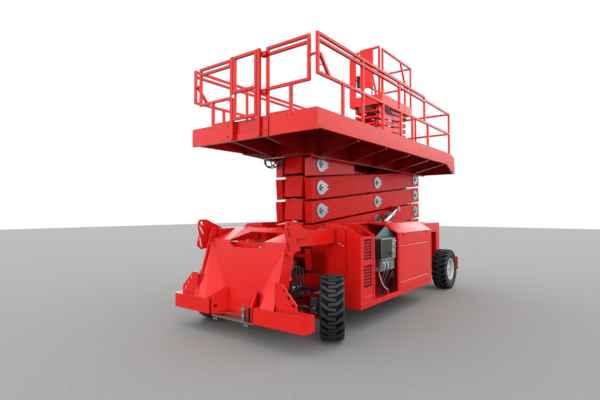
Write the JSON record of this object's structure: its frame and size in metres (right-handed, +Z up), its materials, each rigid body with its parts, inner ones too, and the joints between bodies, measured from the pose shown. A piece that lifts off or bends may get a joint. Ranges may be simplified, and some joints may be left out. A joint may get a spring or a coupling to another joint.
{
  "type": "scissor lift",
  "caption": "Large four wheel scissor lift with a wide deck, side cabinets, steered front wheels and a raised basket on its own small scissor stack.",
  "frame": {"origin": "on the ground under the middle of the machine's overall box", "axes": "+X forward, +Y left, +Z up"},
  "size_m": [5.7, 2.7484, 4.952],
  "materials": {
    "red_paint": "gloss",
    "grey_box": "satin",
    "dark_steel": "matt",
    "zinc": "zinc plated",
    "chrome": "polished",
    "tyre_rubber": "matt",
    "rim_grey": "satin"
  },
  "bodies": {
    "chassis": {"chassis_frame": "red_paint", "nose": "red_paint", "tow_bar": "zinc", "lifting_lugs": "red_paint", "tail_frame": "red_paint", "front_axle": "red_paint", "rear_axle": "red_paint", "steering_cylinder": "dark_steel", "pod_left": "red_paint", "pod_right": "red_paint", "grille_left": "red_paint", "grille_right": "red_paint", "control_box": "grey_box", "valve_box": "grey_box", "engine_block": "dark_steel"},
    "steer_left": {"knuckle_left": "dark_steel"},
    "front_wheel_left": {"tyre_front_left": "tyre_rubber", "rim_front_left": "rim_grey"},
    "rear_wheel_left": {"tyre_rear_left": "tyre_rubber", "rim_rear_left": "rim_grey"},
    "steer_right": {"knuckle_right": "dark_steel"},
    "front_wheel_right": {"tyre_front_right": "tyre_rubber", "rim_front_right": "rim_grey"},
    "rear_wheel_right": {"tyre_rear_right": "tyre_rubber", "rim_rear_right": "rim_grey"},
    "steering_rod": {"steering_rod": "chrome"},
    "door_left": {"door_left": "red_paint"},
    "door_right": {"door_right": "red_paint"},
    "hatch_right": {"hatch_right": "red_paint"},
    "outer_1": {"outer_arm_1": "red_paint", "pin_keepers_1": "zinc"},
    "inner_1": {"inner_arm_1": "red_paint"},
    "outer_2": {"outer_arm_2": "red_paint", "pin_keepers_2": "zinc"},
    "inner_2": {"inner_arm_2": "red_paint"},
    "outer_3": {"outer_arm_3": "red_paint", "pin_keepers_3": "zinc"},
    "inner_3": {"inner_arm_3": "red_paint"},
    "outer_4": {"outer_arm_4": "red_paint", "pin_keepers_4": "zinc"},
    "inner_4": {"inner_arm_4": "red_paint"},
    "platform": {"platform_deck": "red_paint", "platform_keepers": "zinc", "guard_rails": "red_paint", "basket_pedestal": "red_paint"},
    "lift_barrels": {"lift_barrels": "zinc"},
    "lift_rods": {"lift_rods": "chrome"},
    "gate": {"platform_gate": "red_paint"},
    "mini_outer_1": {"mini_outer_1": "red_paint"},
    "mini_inner_1": {"mini_inner_1": "red_paint"},
    "mini_outer_2": {"mini_outer_2": "red_paint"},
    "mini_inner_2": {"mini_inner_2": "red_paint"},
    "mini_outer_3": {"mini_outer_3": "red_paint"},
    "mini_inner_3": {"mini_inner_3": "red_paint"},
    "mini_outer_4": {"mini_outer_4": "red_paint"},
    "mini_inner_4": {"mini_inner_4": "red_paint"},
    "basket": {"basket": "red_paint"}
  },
  "joints": [
    {"name": "front_wheel_left_spin", "type": "hinge", "parent": "steer_left", "child": "front_wheel_left", "pos_m": [2.04852, 1.04594, 0.4155], "axis": [-0.5432, 0.8396, 0], "continuous": true},
    {"name": "rear_wheel_left_spin", "type": "hinge", "parent": "chassis", "child": "rear_wheel_left", "pos_m": [-2.38, 1.049, 0.4155], "axis": [0, 1, 0], "continuous": true},
    {"name": "front_wheel_right_spin", "type": "hinge", "parent": "steer_right", "child": "front_wheel_right", "pos_m": [2.1981, -1.05365, 0.4155], "axis": [-0.454, 0.891, 0], "continuous": true},
    {"name": "rear_wheel_right_spin", "type": "hinge", "parent": "chassis", "child": "rear_wheel_right", "pos_m": [-2.38, -1.049, 0.4155], "axis": [0, 1, 0], "continuous": true},
    {"name": "steer_left", "type": "hinge", "parent": "chassis", "child": "steer_left", "pos_m": [2.13, 0.92, 0.4155], "axis": [0, 0, 1], "range_deg": [-68, 2]},
    {"name": "steer_right", "type": "hinge", "parent": "chassis", "child": "steer_right", "pos_m": [2.13, -0.92, 0.4155], "axis": [0, 0, 1], "range_deg": [-55.86, 1.74]},
    {"name": "steering_rod_slide", "type": "slide", "parent": "chassis", "child": "steering_rod", "axis": [0, 1, 0], "range_m": [-0.21, 0.02]},
    {"name": "door_left_hinge", "type": "hinge", "parent": "chassis", "child": "door_left", "pos_m": [0, 1.2093, 1.294], "axis": [1, 0, 0], "range_deg": [0, 110]},
    {"name": "door_right_hinge", "type": "hinge", "parent": "chassis", "child": "door_right", "pos_m": [0, -1.2093, 1.294], "axis": [-1, 0, 0], "range_deg": [0, 110]},
    {"name": "hatch_right_hinge", "type": "hinge", "parent": "chassis", "child": "hatch_right", "pos_m": [0, -1.2093, 1.294], "axis": [-1, 0, 0], "range_deg": [0, 110]},
    {"name": "lift", "type": "hinge", "parent": "chassis", "child": "outer_1", "pos_m": [1.29, 0, 0.94], "axis": [0, 1, 0], "range_deg": [0, 44.5]},
    {"name": "stack_centre_1", "type": "hinge", "parent": "outer_1", "child": "inner_1", "pos_m": [-0.60456, 0, 1.119], "axis": [0, 1, 0], "range_deg": [-89.5, 0.5]},
    {"name": "stack_front_2", "type": "hinge", "parent": "inner_1", "child": "outer_2", "pos_m": [1.29, 0, 1.298], "axis": [0, 1, 0], "range_deg": [-0.5, 89.5]},
    {"name": "stack_centre_2", "type": "hinge", "parent": "outer_2", "child": "inner_2", "pos_m": [-0.60456, 0, 1.477], "axis": [0, 1, 0], "range_deg": [-89.5, 0.5]},
    {"name": "stack_front_3", "type": "hinge", "parent": "inner_2", "child": "outer_3", "pos_m": [1.29, 0, 1.656], "axis": [0, 1, 0], "range_deg": [-0.5, 89.5]},
    {"name": "stack_centre_3", "type": "hinge", "parent": "outer_3", "child": "inner_3", "pos_m": [-0.60456, 0, 1.835], "axis": [0, 1, 0], "range_deg": [-89.5, 0.5]},
    {"name": "stack_front_4", "type": "hinge", "parent": "inner_3", "child": "outer_4", "pos_m": [1.29, 0, 2.014], "axis": [0, 1, 0], "range_deg": [-0.5, 89.5]},
    {"name": "stack_centre_4", "type": "hinge", "parent": "outer_4", "child": "inner_4", "pos_m": [-0.60456, 0, 2.193], "axis": [0, 1, 0], "range_deg": [-89.5, 0.5]},
    {"name": "platform_level", "type": "hinge", "parent": "inner_4", "child": "platform", "pos_m": [1.29, 0, 2.372], "axis": [0, 1, 0], "range_deg": [-0.5, 45]},
    {"name": "lift_barrel_pivot", "type": "hinge", "parent": "chassis", "child": "lift_barrels", "pos_m": [0.75, 0, 0.85], "axis": [0, 1, 0], "range_deg": [-1, 51.61]},
    {"name": "lift_rod_slide", "type": "slide", "parent": "lift_barrels", "child": "lift_rods", "axis": [-0.9203, 0, 0.3911], "range_m": [-0.01, 0.344]},
    {"name": "gate_hinge", "type": "hinge", "parent": "platform", "child": "gate", "pos_m": [2.5657, 0.23, 3.35], "axis": [0, 0, -1], "range_deg": [0, 90]},
    {"name": "basket_lift", "type": "hinge", "parent": "platform", "child": "mini_outer_1", "pos_m": [-0.93, 0, 3.18], "axis": [0, 1, 0], "range_deg": [0, 45]},
    {"name": "mini_centre_1", "type": "hinge", "parent": "mini_outer_1", "child": "mini_inner_1", "pos_m": [-1.54166, 0, 3.244], "axis": [0, 1, 0], "range_deg": [-90.5, 0.5]},
    {"name": "mini_front_2", "type": "hinge", "parent": "mini_inner_1", "child": "mini_outer_2", "pos_m": [-0.93, 0, 3.308], "axis": [0, 1, 0], "range_deg": [-0.5, 90.5]},
    {"name": "mini_centre_2", "type": "hinge", "parent": "mini_outer_2", "child": "mini_inner_2", "pos_m": [-1.54166, 0, 3.372], "axis": [0, 1, 0], "range_deg": [-90.5, 0.5]},
    {"name": "mini_front_3", "type": "hinge", "parent": "mini_inner_2", "child": "mini_outer_3", "pos_m": [-0.93, 0, 3.436], "axis": [0, 1, 0], "range_deg": [-0.5, 90.5]},
    {"name": "mini_centre_3", "type": "hinge", "parent": "mini_outer_3", "child": "mini_inner_3", "pos_m": [-1.54166, 0, 3.5], "axis": [0, 1, 0], "range_deg": [-90.5, 0.5]},
    {"name": "mini_front_4", "type": "hinge", "parent": "mini_inner_3", "child": "mini_outer_4", "pos_m": [-0.93, 0, 3.564], "axis": [0, 1, 0], "range_deg": [-0.5, 90.5]},
    {"name": "mini_centre_4", "type": "hinge", "parent": "mini_outer_4", "child": "mini_inner_4", "pos_m": [-1.54166, 0, 3.628], "axis": [0, 1, 0], "range_deg": [-90.5, 0.5]},
    {"name": "basket_level", "type": "hinge", "parent": "mini_inner_4", "child": "basket", "pos_m": [-0.93, 0, 3.692], "axis": [0, 1, 0], "range_deg": [-0.5, 45.5]}
  ],
  "couplings": [
    {"joint": "steer_right", "follows": "steer_left", "ratio": 0.82},
    {"joint": "steering_rod_slide", "follows": "steer_left", "m_per_rad": 0.166},
    {"joint": "stack_centre_1", "follows": "lift", "ratio": -2},
    {"joint": "stack_front_2", "follows": "lift", "ratio": 2},
    {"joint": "stack_centre_2", "follows": "lift", "ratio": -2},
    {"joint": "stack_front_3", "follows": "lift", "ratio": 2},
    {"joint": "stack_centre_3", "follows": "lift", "ratio": -2},
    {"joint": "stack_front_4", "follows": "lift", "ratio": 2},
    {"joint": "stack_centre_4", "follows": "lift", "ratio": -2},
    {"joint": "platform_level", "follows": "lift", "ratio": 1},
    {"joint": "lift_barrel_pivot", "follows": "lift", "ratio": 1.1373},
    {"joint": "lift_rod_slide", "follows": "lift", "m_per_rad": 0.4305},
    {"joint": "mini_centre_1", "follows": "basket_lift", "ratio": -2},
    {"joint": "mini_front_2", "follows": "basket_lift", "ratio": 2},
    {"joint": "mini_centre_2", "follows": "basket_lift", "ratio": -2},
    {"joint": "mini_front_3", "follows": "basket_lift", "ratio": 2},
    {"joint": "mini_centre_3", "follows": "basket_lift", "ratio": -2},
    {"joint": "mini_front_4", "follows": "basket_lift", "ratio": 2},
    {"joint": "mini_centre_4", "follows": "basket_lift", "ratio": -2},
    {"joint": "basket_level", "follows": "basket_lift", "ratio": 1}
  ]
}
